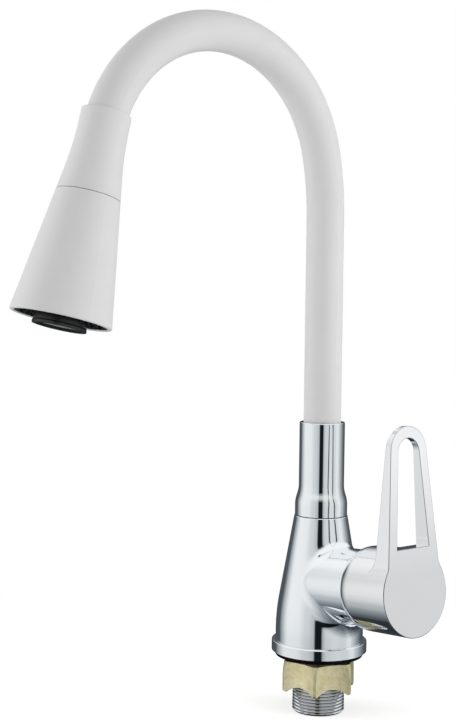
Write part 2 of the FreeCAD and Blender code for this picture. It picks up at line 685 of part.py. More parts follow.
def make_tap_body():
    column = turned("column", [
        (0, ring_top),
        (foot_radius - foot_chamfer, ring_top),
        (foot_radius, ring_top + foot_chamfer),
        (foot_radius, ring_top + foot_land),
        (foot_arc_radius, foot_arc_top, foot_arc),
        (column_rim, column_top - rim_chamfer),
        (column_rim - rim_chamfer, column_top),
        (0, column_top),
    ])
    swell = boss_radius - boss_root
    swell_arc = (boss_swell * boss_swell + swell * swell) / (swell * 2)
    boss = on_boss(turned("boss", [
        (0, 0),
        (boss_root, 0),
        (boss_radius, boss_swell, swell_arc),
        (boss_radius, boss_reach - boss_edge),
        (boss_radius - boss_edge, boss_reach, boss_edge),
        (0, boss_reach),
    ]))
    casting = blended_casting(fused("column_and_boss", [column, boss]))
    tools = [
        rod("shank_socket", shank_radius + thread_fit, 0, shank_end),
        rod("spout_socket", socket_radius, socket_floor, column_top + OVER),
        rod("washer_seat", washer_radius + thread_fit, column_top - washer_recess, column_top + OVER),
        boss_rod("cartridge_pocket", cartridge_pocket, pocket_floor, boss_reach + OVER),
        boss_rod("retainer_thread", retainer_radius + thread_fit, housing_end, boss_reach + OVER),
        boss_rod("outlet_port", outlet_radius, -port_rise, pocket_floor + OVER, port_rise),
        rod("outlet_channel", channel_radius, boss_axis_height + port_rise, socket_floor + OVER,
            place=(-port_drop, 0)),
    ]
    for name, side in (("left", -inlet_spread), ("right", inlet_spread)):
        tools.append(rod("inlet_hole_" + name, inlet_radius, shank_end - OVER, shank_end + inlet_depth,
                         place=(0, side)))
        tools.append(rod("inlet_channel_" + name, channel_radius, shank_end, boss_axis_height - port_drop,
                         place=(0, side)))
        tools.append(boss_rod("inlet_port_" + name, channel_radius, -channel_radius, pocket_floor + OVER,
                              -port_drop, side))
    screw_hole = rod("lock_screw_hole", lock_radius + thread_fit, 0, foot_radius,
                     turn=Rotation(Vector(1, 0, 0), -90))
    bind(screw_hole, "Placement.Base.y", spigot_radius - OVER)
    bind(screw_hole, "Placement.Base.z", lock_height)
    tools.append(screw_hole)
    return cut("tap_body", casting, tools)


ports = (
    ("outlet", outlet_radius, port_rise, as_size(0)),
    ("left_inlet", channel_radius, -port_drop, -inlet_spread),
    ("right_inlet", channel_radius, -port_drop, inlet_spread),
)
pocket_floor = boss_reach - pocket_depth
base_end = pocket_floor + base_height
fixed_disc_end = base_end + fixed_disc_height
moving_disc_start = fixed_disc_end + face_gap
moving_disc_end = moving_disc_start + moving_disc_height
driver_end = moving_disc_end + driver_height
ball_place = driver_end + ball_offset
housing_bore = cartridge_radius - housing_wall
housing_end = pocket_floor + cartridge_length
lip_start = housing_end - housing_lip
flange_end = lip_start - face_gap
flange_start = flange_end - carrier_flange
carrier_end = housing_end + carrier_proud
pivot_place = housing_end + pivot_offset
closed_offset = -disc_travel / 2


def make_spout_lock_screw():
    item = rod("lock_screw_shaft", lock_radius, 0, column_rim - lock_inner,
               turn=Rotation(Vector(1, 0, 0), -90))
    bind(item, "Placement.Base.y", lock_inner)
    bind(item, "Placement.Base.z", lock_height)
    key = rod("lock_screw_key", lock_radius / 2, 0, lock_key_depth + OVER,
              turn=Rotation(Vector(1, 0, 0), -90))
    bind(key, "Placement.Base.y", column_rim - lock_key_depth)
    bind(key, "Placement.Base.z", lock_height)
    return cut("spout_lock_screw", item, [key])


def make_swivel_washer():
    return ring("swivel_washer", spigot_radius + running_gap, washer_radius,
                column_top - washer_recess, sleeve_foot)


def port_tools(label, low, high, extra=0):
    return [boss_rod("%s_%s" % (label, name), radius + extra, low, high, up, side)
            for name, radius, up, side in ports]


def make_cartridge_base():
    disc = boss_rod("base_disc", cartridge_radius, pocket_floor, base_end)
    holes = port_tools("base_port", pocket_floor - OVER, base_end + OVER)
    seats = port_tools("base_seat", pocket_floor - OVER, pocket_floor + seal_height, seal_wire + thread_fit)
    return cut("cartridge_base", disc, holes + seats)


def make_port_seals():
    seal_top = pocket_floor + seal_height
    outer = fused("seal_rounds", port_tools("seal_outer", pocket_floor, seal_top, seal_wire))
    return cut("cartridge_port_seals", outer, port_tools("seal_hole", pocket_floor - OVER, base_end))


def make_fixed_disc():
    disc = boss_rod("fixed_disc_blank", fixed_disc_radius, base_end, fixed_disc_end)
    return cut("fixed_ceramic_disc", disc,
               port_tools("disc_port", base_end - OVER, fixed_disc_end + OVER))


def make_cartridge_housing():
    return on_boss(turned("cartridge_housing", [
        (housing_bore, base_end),
        (cartridge_radius, base_end),
        (cartridge_radius, housing_end),
        (carrier_neck + bearing_fit, housing_end),
        (carrier_neck + bearing_fit, lip_start),
        (housing_bore, lip_start),
    ]))


def make_cartridge_nut():
    nut_end = housing_end + retainer_height
    blank = on_boss(turned("retainer_blank", [
        (carrier_neck + running_gap * 2, housing_end),
        (retainer_radius, housing_end),
        (retainer_radius, nut_end - rim_chamfer * 2),
        (retainer_radius - rim_chamfer * 2, nut_end),
        (carrier_neck + running_gap * 2, nut_end),
    ]))
    half = retainer_slot / 2
    slot_span = (nut_end - retainer_slot_depth, nut_end + OVER)
    across = (-retainer_radius, retainer_radius)
    slots = [
        boss_block("upright_key_slot", slot_span, across, (-half, half)),
        boss_block("level_key_slot", slot_span, (-half, half), across),
    ]
    return cut("cartridge_nut", blank, slots)


def make_moving_disc():
    disc = boss_rod("moving_disc_blank", moving_disc_radius, moving_disc_start, moving_disc_end,
                    closed_offset)
    chamber = boss_rod("mixing_chamber", chamber_radius, moving_disc_start - OVER,
                       moving_disc_start + chamber_depth, closed_offset)
    return cut("moving_ceramic_disc", disc, [chamber])


def make_disc_driver():
    blank = boss_rod("driver_blank", moving_disc_radius, moving_disc_end, driver_end, closed_offset)
    socket = boss_rod("driver_socket", ball_radius + ball_gap, ball_place - ball_radius - running_gap,
                      driver_end + OVER)
    return cut("disc_driver", blank, [socket])


def make_stem_carrier():
    """Its slot leaves room for the stem over the whole lift."""
    blank = on_boss(turned("carrier_blank", [
        (0, flange_start),
        (housing_bore - running_gap, flange_start),
        (housing_bore - running_gap, flange_end),
        (carrier_neck, flange_end),
        (carrier_neck, carrier_end),
        (0, carrier_end),
    ]))
    half = stem_side / 2
    leaning_half = half / cosine(lift_angle) + running_gap
    slot_up = leaning_half + (pivot_place - flange_start) * tangent(lift_angle)
    slot_down = leaning_half + (carrier_end - pivot_place) * tangent(lift_angle)
    slot = boss_block("stem_slot", (flange_start - OVER, carrier_end + OVER), (-slot_down, slot_up),
                      (-half - running_gap / 2, half + running_gap / 2))
    pin_hole = side_rod("carrier_pin_hole", pin_radius + thread_fit, carrier_neck + OVER)
    return cut("stem_carrier", blank, [slot, pin_hole])


def side_rod(label, radius, reach):
    """A cylinder across the boss through the pivot, reaching as far to either side."""
    item = rod(label, radius, 0, reach * 2)
    return place_at(item, boss_point(pivot_place, 0, reach), Rotation(Vector(1, 0, 0), 90))


def make_pivot_pin():
    return side_rod("pivot_pin", pin_radius, carrier_neck - running_gap)


# Lever
disc_place = boss_reach + hub_length
stem_end = disc_place - stem_cover
grub_place = disc_place - grub_cover
skirt_start = boss_reach + seam_gap
skirt_inner = boss_radius + skirt_gap
hollow_end = skirt_start + skirt_depth
front_back = disc_place - front_wall
plug_low = disc_radius - plug_height - plug_sink


def make_lever_stem():
    half = stem_side / 2
    bar = boss_block("stem_bar", (ball_place + ball_radius, stem_end), (-half, half), (-half, half))
    neck = boss_rod("stem_neck", ball_neck, ball_place, ball_place + ball_radius + OVER)
    ball = doc.addObject("Part::Sphere", "stem_ball")
    bind(ball, "Radius", ball_radius)
    place_at(ball, boss_point(ball_place, 0, 0), Rotation())
    pin_hole = side_rod("stem_pin_hole", pin_radius + bearing_fit, stem_side)
    return cut("lever_stem", fused("stem_blank", [bar, neck, ball]), [pin_hole])


def loop_outline(top_radius, top_centre, taper, foot):
    """Half-round top and straight sides that spread by the taper, down to a height above the
    boss's axis. The sketch's -X side faces up."""
    tip_height = top_centre + top_radius * sine(taper)
    tip_half = top_radius * cosine(taper)
    root_half = tip_half + (tip_height - foot) * tangent(taper)
    return [
        (-as_size(foot), -root_half),
        (-tip_height, -tip_half),
        (-(top_centre + top_radius), 0, -top_radius),
        (-tip_height, tip_half, -top_radius),
        (-as_size(foot), root_half),
    ]


def make_loop():
    """The loop without its slot, between its outline and its side profile."""
    top = arm_top_centre + arm_top_radius + OVER
    outline = plate("loop_plate", loop_outline(arm_top_radius, arm_top_centre, arm_taper, 0),
                    hollow_end, disc_place)
    slope = tangent(loop_taper)
    axis_back = disc_place - loop_top_thickness - arm_top_centre * slope
    curve_end = as_size(45)
    curve_start_back = axis_back + back_blend_top * slope
    curve_centre = back_blend_top + back_blend * sine(loop_taper)
    curve_low = curve_start_back - back_blend * (cosine(loop_taper) - cosine(curve_end))
    profile = side_prism("loop_profile", [
        (0, curve_low),
        (0, disc_place),
        (-top, disc_place),
        (-top, axis_back + top * slope),
        (-back_blend_top, curve_start_back),
        (back_blend * sine(curve_end) - curve_centre, curve_low, -back_blend),
    ], disc_radius * 3)
    return common("loop_blank", outline, profile)


def is_loop_root(edge):
    """The corners between the round front and the loop's sides, which run back from the front."""
    box = edge.BoundBox
    at_front = box.ZMax > disc_place.value - TOUCH
    beside_hub = box.XMax < 0 and box.XMin > -disc_radius.value
    return at_front and beside_hub and box.ZLength > lever_edge.value


def is_lever_rim(edge):
    """The outline of the front, and the loop's outline at its back."""
    box = edge.BoundBox
    at_front = box.ZMin > disc_place.value - TOUCH
    at_back = box.XMax < TOUCH - back_blend_top.value and box.ZMax < disc_place.value - lever_edge.value
    return at_front or at_back


def is_slot_rim(edge):
    """The slot's outline in the front."""
    box = edge.BoundBox
    at_front = box.ZMin > disc_place.value - TOUCH
    inside = box.XMin > -(slot_top_centre + slot_top_radius).value - TOUCH
    narrow = box.YLength < disc_radius.value * 1.5
    return at_front and inside and narrow and box.XMax < -slot_top_radius.value


def make_lever_handle():
    flank_arc = (skirt_flank * skirt_flank + skirt_draw * skirt_draw) / (skirt_draw * 2)
    rim_radius_at_seam = skirt_radius - skirt_draw
    hub = turned("hub", [
        (0, skirt_start),
        (rim_radius_at_seam - skirt_edge, skirt_start),
        (rim_radius_at_seam, skirt_start + skirt_edge, skirt_edge),
        (skirt_radius, skirt_start + skirt_edge + skirt_flank, flank_arc),
        (disc_radius, disc_place),
        (0, disc_place),
    ])
    solid = fused("lever_solid", [hub, make_loop()])
    rooted = filleted("lever_roots", solid, arm_blend, is_loop_root)
    rounded = filleted("lever_rims", rooted, lever_edge, is_lever_rim)
    slot_foot = disc_radius + slot_rise
    slot = plate("loop_slot", loop_outline(slot_top_radius, slot_top_centre, slot_taper, slot_foot),
                 hollow_end - OVER, disc_place + OVER)
    slotted = cut("lever_slotted", rounded, [slot])
    outside = filleted("lever_outside", slotted, slot_edge, is_slot_rim)
    hollow = turned("lever_hollow", [
        (0, skirt_start - OVER),
        (skirt_inner, skirt_start - OVER),
        (skirt_inner, hollow_end),
        (hub_cavity, hollow_end),
        (hub_cavity, front_back),
        (socket_boss, front_back),
        (socket_boss, hollow_end),
        (0, hollow_end),
    ])
    shell = on_boss(cut("lever_shell", outside, [hollow]))
    half = stem_side / 2 + thread_fit
    socket = boss_block("stem_socket", (hollow_end - OVER, stem_end + thread_fit), (-half, half),
                        (-half, half))
    screw_hole = under_rod("grub_hole", grub_radius + thread_fit, 0, disc_radius + OVER, grub_place)
    return cut("lever_handle", shell, [socket, screw_hole])


def make_set_screw():
    low = stem_side / 2 + thread_fit
    shaft = under_rod("grub_shaft", grub_radius, low, low + grub_length, grub_place)
    key = under_rod("grub_socket", grub_key, low + grub_length / 2, low + grub_length + OVER, grub_place)
    return cut("lever_set_screw", shaft, [key])


def make_screw_plug():
    return under_rod("set_screw_plug", grub_radius, plug_low, plug_low + plug_height, grub_place)


# Spout foot
sleeve_bore = hose_radius + hose_gap
core_outer = hose_radius - hose_wall - hose_gap
core_inner = core_outer - core_wall
water_outer = core_inner - hose_gap
water_inner = water_outer - water_wall
floor_end = sleeve_foot + sleeve_floor


def make_spout_sleeve():
    flare = bell_arc * (as_size(1) - cosine(bell_angle))
    bell_end = sleeve_foot + bell_height
    arc_height = bell_arc * sine(bell_angle)
    lower = sleeve_bell - flare
    upper = sleeve_radius + flare
    upper_height = bell_end + arc_height + (lower - upper) / tangent(bell_angle)
    return turned("spout_sleeve", [
        (spigot_radius + thread_fit, sleeve_foot),
        (sleeve_bell - rim_chamfer, sleeve_foot),
        (sleeve_bell, sleeve_foot + rim_chamfer),
        (sleeve_bell, bell_end),
        (lower, bell_end + arc_height, bell_arc),
        (upper, upper_height),
        (sleeve_radius, upper_height + arc_height, -bell_arc),
        (sleeve_radius, sleeve_top - sleeve_rim),
        (sleeve_radius - sleeve_rim, sleeve_top, sleeve_rim),
        (sleeve_bore + mouth_gap, sleeve_top),
        (sleeve_bore + mouth_gap, sleeve_top - mouth_depth),
        (sleeve_bore, sleeve_top - mouth_depth),
        (sleeve_bore, floor_end),
        (spigot_radius + thread_fit, floor_end),
    ])


def make_spout_spigot():
    low = column_top - spigot_depth
    outline = [(spigot_bore, low), (spigot_radius, low)]
    floor = spigot_radius - ring_wire * 2 - face_gap
    half = ring_wire + face_gap
    for index in range(SPIGOT_RINGS):
        middle = low + ring_first + ring_pitch * index
        outline += [
            (spigot_radius, middle - half),
            (floor, middle - half),
            (floor, middle + half),
            (spigot_radius, middle + half),
        ]
    groove_half = lock_radius + running_gap
    outline += [
        (spigot_radius, lock_height - groove_half),
        (spigot_radius - lock_groove, lock_height - groove_half),
        (spigot_radius - lock_groove, lock_height + groove_half),
        (spigot_radius, lock_height + groove_half),
        (spigot_radius, floor_end),
        (spigot_bore, floor_end),
    ]
    return turned("spout_spigot", outline)


def make_o_ring(label, centre_radius, place):
    item = doc.addObject("Part::Torus", label)
    bind(item, "Radius1", centre_radius)
    bind(item, "Radius2", ring_wire)
    bind(item, "Placement.Base.z", place)
    return item


def make_spigot_o_rings():
    low = column_top - spigot_depth + ring_first
    rings = [make_o_ring("o_ring_%d" % index, spigot_radius - ring_wire, low + ring_pitch * index)
             for index in range(SPIGOT_RINGS)]
    return fused("spigot_o_rings", rings)


def make_hose_root_fitting():
    return turned("hose_root_fitting", [
        (water_inner, floor_end),
        (hose_radius, floor_end),
        (hose_radius, hose_start - face_gap),
        (core_outer, hose_start - face_gap),
        (core_outer, floor_end + root_fitting),
        (water_outer + hose_gap, floor_end + root_fitting),
        (water_outer + hose_gap, floor_end + root_fitting - fitting_lap),
        (water_inner, floor_end + root_fitting - fitting_lap),
    ])


def make_hose_cover():
    return swept("hose_cover", (hose_radius, hose_radius - hose_wall), hose_start)


def make_hose_core():
    return swept("hose_core", (core_outer, core_inner), floor_end + root_fitting)


def make_water_hose():
    return swept("water_hose", (water_outer, water_inner), floor_end + root_fitting - fitting_lap,
                 fitting_lap)


# Spray head
collar_seam = head_length - collar_length
neck_end = head_length - collar_neck
taper_start = neck_end - head_arc * sine(head_taper)
taper_radius = collar_radius + head_arc * (as_size(1) - cosine(head_taper))
head_wall_across = head_wall / cosine(head_taper)
fitting_end = hose_end_place - end_fitting
shell_top = collar_seam - seam_gap
flange_low = fitting_end - waterway_top
neck_bore = waterway_radius + neck_gap
neck_outer = neck_bore + neck_wall
face_low = face_recess
face_high = face_low + face_height


def head_radius(place):
    """The head's outer radius on its straight taper."""
    return taper_radius + (taper_start - place) * tangent(head_taper)


def make_head_collar():
    """Its seat for the hose follows the hose's bend."""
    inner = head_radius(collar_seam) - head_wall_across
    blank = on_head(turned("collar_blank", [
        (inner, collar_seam),
        (head_radius(collar_seam), collar_seam),
        (taper_radius, taper_start),
        (collar_radius, neck_end, -head_arc),
        (collar_radius, head_length - collar_lip),
        (collar_radius - collar_lip, head_length, collar_lip),
        (core_outer + thread_fit, head_length),
        (core_outer + thread_fit, fitting_end),
        (collar_radius - head_wall, fitting_end),
        (collar_radius - head_wall, flange_low),
    ]))
    return cut("head_collar", blank, [swept("collar_hose_seat", [sleeve_bore], hose_start)])


def make_hose_end_fitting():
    return on_head(turned("hose_end_fitting", [
        (water_inner, fitting_end),
        (core_outer, fitting_end),
        (core_outer, hose_end_place),
        (water_outer + hose_gap, hose_end_place),
        (water_outer + hose_gap, hose_end_place - fitting_lap),
        (water_inner, hose_end_place - fitting_lap),
    ]))


def make_head_waterway():
    groove_floor = neck_bore - thread_fit - ring_wire * 2 - face_gap
    half = ring_wire + face_gap
    return on_head(turned("head_waterway", [
        (water_inner, waterway_foot),
        (waterway_radius, waterway_foot),
        (waterway_radius, head_ring_place - half),
        (groove_floor, head_ring_place - half),
        (groove_floor, head_ring_place + half),
        (waterway_radius, head_ring_place + half),
        (waterway_radius, flange_low),
        (collar_radius - head_wall - thread_fit, flange_low),
        (collar_radius - head_wall - thread_fit, fitting_end),
        (water_inner, fitting_end),
    ]))


head_ring_place = shell_top + shell_neck / 2


def make_head_o_ring():
    item = make_o_ring("head_o_ring", neck_bore - thread_fit - ring_wire, 0)
    return place_on_head(item, head_ring_place)


def place_on_head(item, place, side=0, across=0):
    """Puts a piece on the head's axis at a distance from the rim, shifted square to the axis."""
    place, across = as_size(place), as_size(across)
    turn = Rotation(Vector(-1, 0, 0), head_tilt.value)
    place_at(item, (
        as_size(side),
        place * sine(head_tilt) + across * cosine(head_tilt) - head_reach,
        head_height + place * cosine(head_tilt) - across * sine(head_tilt),
    ), turn)
    bind(item, "Placement.Rotation.Angle", head_tilt)
    return item


rim_radius = head_radius(as_size(0))
face_seat = rim_radius - head_wall


def make_head_shell():
    web = shell_top - head_wall
    return on_head(turned("head_shell", [
        (face_seat, rim_rounding / 2),
        (face_seat + rim_rounding / 2, 0),
        (rim_radius - rim_rounding, 0),
        (head_radius(rim_rounding), rim_rounding, rim_rounding),
        (head_radius(shell_top), shell_top),
        (neck_outer, shell_top),
        (neck_outer, shell_top + shell_neck),
        (neck_bore, shell_top + shell_neck),
        (neck_bore, web),
        (head_radius(web) - head_wall_across, web),
        (head_radius(face_high) - head_wall_across, face_high),
        (face_seat, face_high),
    ]))


def make_spray_face():
    return on_head(turned("spray_face", [
        (aerator_radius + thread_fit, face_low),
        (face_seat - thread_fit, face_low),
        (face_seat - thread_fit, face_high),
        (aerator_radius + thread_fit, face_high),
    ]))


def make_spray_nozzles():
    nozzle = turned("nozzle", [
        (nozzle_hole, face_low - nozzle_height),
        (nozzle_tip, face_low - nozzle_height),
        (nozzle_radius, face_low),
        (nozzle_hole, face_low),
    ])
    doc.recompute()
    copies = []
    for count, distance in ((inner_nozzles, inner_nozzle_ring), (outer_nozzles, outer_nozzle_ring)):
        for index in range(int(count.value)):
            copy = nozzle.Shape.copy()
            copy.translate(Vector(distance.value, 0, 0))
            copy.rotate(Vector(), Vector(0, 0, 1), 360.0 * index / int(count.value))
            copies.append(copy)
    item = doc.addObject("Part::Feature", "spray_nozzles")
    item.Shape = Part.makeCompound(copies)
    return on_head(item)


def make_aerator_housing():
    mouth = -aerator_proud
    inner = aerator_radius - aerator_wall
    return on_head(turned("aerator_housing", [
        (inner, mouth),
        (aerator_radius + aerator_lip / 2, mouth),
        (aerator_radius + aerator_lip / 2, mouth + aerator_lip * 2),
        (aerator_radius, mouth + aerator_lip * 3),
        (aerator_radius, mouth + aerator_height),
        (inner, mouth + aerator_height),
    ]))


def make_aerator_insert():
    low = insert_recess - aerator_proud
    high = low + insert_height
    blank = rod("insert_blank", aerator_radius - aerator_wall - thread_fit, low, high)
    hole = rod("insert_hole_cutter", insert_hole, low - OVER, high + OVER)
    doc.recompute()
    copies = [hole.Shape.copy()]
    for step in range(1, int(insert_rings.value) + 1):
        for index in range(6 * step):
            copy = hole.Shape.copy()
            copy.translate(Vector(insert_pitch.value * step, 0, 0))
            copy.rotate(Vector(), Vector(0, 0, 1), 60.0 * index / step)
            copies.append(copy)
    holes = doc.addObject("Part::Feature", "insert_holes")
    holes.Shape = Part.makeCompound(copies)
    return on_head(cut("aerator_insert", blank, [holes]))


def make_diverter():
    low = aerator_height - aerator_proud
    high = waterway_foot - face_gap
    return on_head(turned("spray_diverter", [
        (water_inner, low),
        (aerator_radius, low),
        (aerator_radius, low + diverter_land),
        (waterway_radius, high),
        (water_inner, high),
    ]))


makers = (
    make_base_gasket, make_base_ring, make_mounting_shank, make_lock_nut,
    make_tap_body, make_spout_lock_screw, make_swivel_washer,
    make_cartridge_base, make_port_seals, make_fixed_disc, make_cartridge_housing, make_cartridge_nut,
    make_moving_disc, make_disc_driver, make_stem_carrier, make_pivot_pin,
    make_lever_stem, make_lever_handle, make_set_screw, make_screw_plug,
    make_spout_sleeve, make_spout_spigot, make_spigot_o_rings,
    make_hose_root_fitting, make_hose_cover, make_hose_core, make_water_hose,
    make_head_collar, make_hose_end_fitting, make_head_waterway, make_head_o_ring,
    make_head_shell, make_spray_face, make_spray_nozzles,
    make_aerator_housing, make_aerator_insert, make_diverter,
)
subparts = [make() for make in makers]
doc.recompute()

faults = [item.Name for item in doc.Objects if {"Invalid", "Error"} & set(item.State)]
for item in subparts:
    if item.Shape.isNull() or not item.Shape.isValid() or not item.Shape.Solids:
        faults.append(item.Label)
if faults:
    raise RuntimeError("faulty objects: " + ", ".join(sorted(set(faults))))

os.makedirs("parts", exist_ok=True)
for item in subparts:
    item.Shape.exportStep("parts/%s.step" % item.Label)
    box = item.Shape.BoundBox
    print("%-22s %2d solids %10.1f mm3  x %.1f %.1f  y %.1f %.1f  z %.1f %.1f" % (
        item.Label, len(item.Shape.Solids), item.Shape.Volume,
        box.XMin, box.XMax, box.YMin, box.YMax, box.ZMin, box.ZMax))
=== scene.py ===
import json
import math

import bpy
from mathutils import Matrix, Vector


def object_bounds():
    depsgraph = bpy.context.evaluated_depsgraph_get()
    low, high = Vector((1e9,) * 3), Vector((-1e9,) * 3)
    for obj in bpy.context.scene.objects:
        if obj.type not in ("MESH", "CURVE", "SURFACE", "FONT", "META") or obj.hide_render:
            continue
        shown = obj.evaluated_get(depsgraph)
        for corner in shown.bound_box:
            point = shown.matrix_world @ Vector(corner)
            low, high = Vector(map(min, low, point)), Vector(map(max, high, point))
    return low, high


# Kitchen mixer tap: finishes, the studio and the camera. Metres, +Z up.

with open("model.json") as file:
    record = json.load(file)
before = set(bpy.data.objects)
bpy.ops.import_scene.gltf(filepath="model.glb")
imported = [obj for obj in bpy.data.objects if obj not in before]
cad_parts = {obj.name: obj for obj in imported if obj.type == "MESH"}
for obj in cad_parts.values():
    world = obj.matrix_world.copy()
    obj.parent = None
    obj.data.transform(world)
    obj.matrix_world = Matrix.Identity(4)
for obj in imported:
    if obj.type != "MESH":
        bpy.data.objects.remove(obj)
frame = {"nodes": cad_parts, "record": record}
CAD_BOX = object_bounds()

MM = 0.001
WHITE = (1.0, 1.0, 1.0, 1.0)

# The photo's camera: degrees round the tap from its front, metres from its axis and above the deck.
CAMERA_AZIMUTH = 47.53
CAMERA_DISTANCE = 0.887167
CAMERA_HEIGHT = 0.237909
# How it is turned away from the axis, down and aslant, in degrees.
CAMERA_PAN = 3.877
CAMERA_PITCH = 3.452
CAMERA_ROLL = 0.634
# Its focal length and the photo's height, both in pixels.
FOCAL_PIXELS = 1407.23
PHOTO_HEIGHT = 727


class Nodes:
    """Short ways to add nodes to a tree and to wire them."""

    def __init__(self, tree):
        self.tree = tree

    def node(self, kind, **settings):
        made = self.tree.nodes.new(kind)
        for name, value in settings.items():
            setattr(made, name, value)
        return made

    def link(self, source, target):
        self.tree.links.new(source, target)

    def feed(self, value, target):
        """Sets an input to a number or a colour, or wires an output to it."""
        if isinstance(value, (float, tuple)):
            target.default_value = value
        else:
            self.link(value, target)

    def split(self, vector):
        """The vector's outputs X, Y and Z."""
        made = self.node("ShaderNodeSeparateXYZ")
        self.link(vector, made.inputs["Vector"])
        return made.outputs

    def length(self, vector):
        made = self.node("ShaderNodeVectorMath", operation="LENGTH")
        self.link(vector, made.inputs[0])
        return made.outputs["Value"]

    def calculated(self, operation, first, second):
        """The result of this operation on two numbers or outputs."""
        made = self.node("ShaderNodeMath", operation=operation)
        self.feed(first, made.inputs[0])
        self.feed(second, made.inputs[1])
        return made.outputs["Value"]

    def ranged(self, source, start, end, low=0.0, high=1.0, **settings):
        """The source's stretch from start to end, spread from low to high."""
        made = self.node("ShaderNodeMapRange", **settings)
        made.inputs["From Min"].default_value = start
        made.inputs["From Max"].default_value = end
        made.inputs["To Min"].default_value = low
        made.inputs["To Max"].default_value = high
        self.link(source, made.inputs["Value"])
        return made.outputs["Result"]

    def mixed(self, share, first, second, **settings):
        """One number or colour or the other, by a share from 0 to 1."""
        made = self.node("ShaderNodeMix", **settings)
        self.feed(share, made.inputs["Factor"])
        self.feed(first, made.inputs["A"])
        self.feed(second, made.inputs["B"])
        return made.outputs["Result"]

    def either(self, share, first, second):
        """One shader or the other, by a share from 0 to 1."""
        made = self.node("ShaderNodeMixShader")
        self.link(share, made.inputs[0])
        self.link(first, made.inputs[1])
        self.link(second, made.inputs[2])
        return made.outputs["Shader"]

    def background(self, colour, strength=1.0):
        made = self.node("ShaderNodeBackground")
        made.inputs["Strength"].default_value = strength
        self.feed(colour, made.inputs["Color"])
        return made.outputs["Background"]


# Materials

# Most of a noise texture lies between these values.
NOISE_RANGE = (0.3, 0.7)


class Look(Nodes):
    """A new material with its Principled shader. Textures follow the object's own coordinates."""

    def __init__(self, name, colour, roughness, metallic=0.0):
        self.material = bpy.data.materials.new(name)
        self.material.use_nodes = True
        super().__init__(self.material.node_tree)
        self.shader = self.tree.nodes["Principled BSDF"]
        self.shader.inputs["Base Color"].default_value = (*colour, 1.0)
        self.shader.inputs["Roughness"].default_value = roughness
        self.shader.inputs["Metallic"].default_value = metallic
        coordinates = self.node("ShaderNodeTexCoord").outputs
        self.place = coordinates["Object"]
        self.normal = coordinates["Normal"]

    def stretched(self, scale):
        """The place, scaled by axis."""
        mapping = self.node("ShaderNodeMapping")
        mapping.inputs["Scale"].default_value = scale
        self.link(self.place, mapping.inputs["Vector"])
        return mapping.outputs["Vector"]

    def noise(self, grains, detail=3.0, place=None):
        """Noise with this many grains to the metre."""
        made = self.node("ShaderNodeTexNoise")
        made.inputs["Scale"].default_value = grains
        made.inputs["Detail"].default_value = detail
        self.link(place or self.place, made.inputs["Vector"])
        return made.outputs["Fac"]

    def spread(self, noise, low, high):
        """Noise, spread from low to high."""
        return self.ranged(noise, *NOISE_RANGE, low, high)

    def rough(self, noise, low, high):
        self.link(self.spread(noise, low, high), self.shader.inputs["Roughness"])

    def tinted(self, source, low, high, start=0.35, end=0.65):
        """Colours the surface with two colours, mixed by the source."""
        ramp = self.node("ShaderNodeValToRGB")
        for element, position, colour in zip(ramp.color_ramp.elements, (start, end), (low, high)):
            element.position = position
            element.color = (*colour, 1.0)
        self.link(source, ramp.inputs["Fac"])
        self.link(ramp.outputs["Color"], self.shader.inputs["Base Color"])

    def bump(self, source, height, onto=None):
        """Relief of this height in metres. Gives the normal, to add a second relief onto."""
        made = self.node("ShaderNodeBump")
        made.inputs["Strength"].default_value = 1.0
        made.inputs["Distance"].default_value = height
        self.link(source, made.inputs["Height"])
        if onto:
            self.link(onto, made.inputs["Normal"])
        self.link(made.outputs["Normal"], self.shader.inputs["Normal"])
        return made.outputs["Normal"]


CHROME = (0.91, 0.93, 0.945)


def polished_chrome():
    """Polished plate: an uneven polish and wiping marks that only show close up."""
    look = Look("polished_chrome", CHROME, roughness=0.03, metallic=1.0)
    haze = look.noise(60, detail=4.0)
    look.rough(haze, 0.021, 0.054)
    wave = look.noise(35, detail=1.0)
    look.bump(wave, 0.01 * MM)
    return look.material


def steel():
    look = Look("stainless_steel", (0.56, 0.57, 0.58), roughness=0.3, metallic=1.0)
    streaks = look.noise(900, place=look.stretched((1.0, 1.0, 12.0)))
    look.rough(streaks, 0.22, 0.4)
    look.bump(streaks, 0.004 * MM)
    return look.material


def cast_brass():
    """Sand-cast brass: pale, matt and grainy, with darker stains."""
    look = Look("cast_brass", (0.9, 0.8, 0.52), roughness=0.45, metallic=1.0)
    stains = look.noise(220, detail=5.0)
    look.tinted(stains, (0.88, 0.77, 0.44), (1.0, 0.9, 0.61))
    grain = look.noise(2200, detail=4.0)
    dents = look.noise(480, detail=2.0)
    look.rough(grain, 0.34, 0.6)
    look.bump(grain, 0.1 * MM, onto=look.bump(dents, 0.25 * MM))
    return look.material


def turned_brass():
    look = Look("turned_brass", (0.78, 0.6, 0.28), roughness=0.22, metallic=1.0)
    marks = look.noise(1500, place=look.stretched((1.0, 1.0, 6.0)))
    look.rough(marks, 0.16, 0.32)
    look.bump(marks, 0.006 * MM)
    return look.material


# Brightness of the silicone's darker clouds, as a share of its colour.
CLOUD_SHADE = 0.985


def silicone(name, colour):
    """Matt silicone with a fine grain and a soft bloom on its surface."""
    look = Look(name, colour, roughness=0.62)
    cloud = look.noise(45, detail=3.0)
    darker = tuple(value * CLOUD_SHADE for value in colour)
    look.tinted(cloud, darker, colour)
    grain = look.noise(4200, detail=2.0)
    look.rough(grain, 0.56, 0.7)
    look.bump(grain, 0.012 * MM)
    look.shader.inputs["Sheen Weight"].default_value = 0.06
    look.shader.inputs["Sheen Roughness"].default_value = 0.5
    look.shader.inputs["Specular IOR Level"].default_value = 0.35
    return look.material


# How a moulded plastic's paler patches are made from its colour: times the gain, plus the lift.
PATCH_GAIN = 1.12
PATCH_LIFT = 0.003
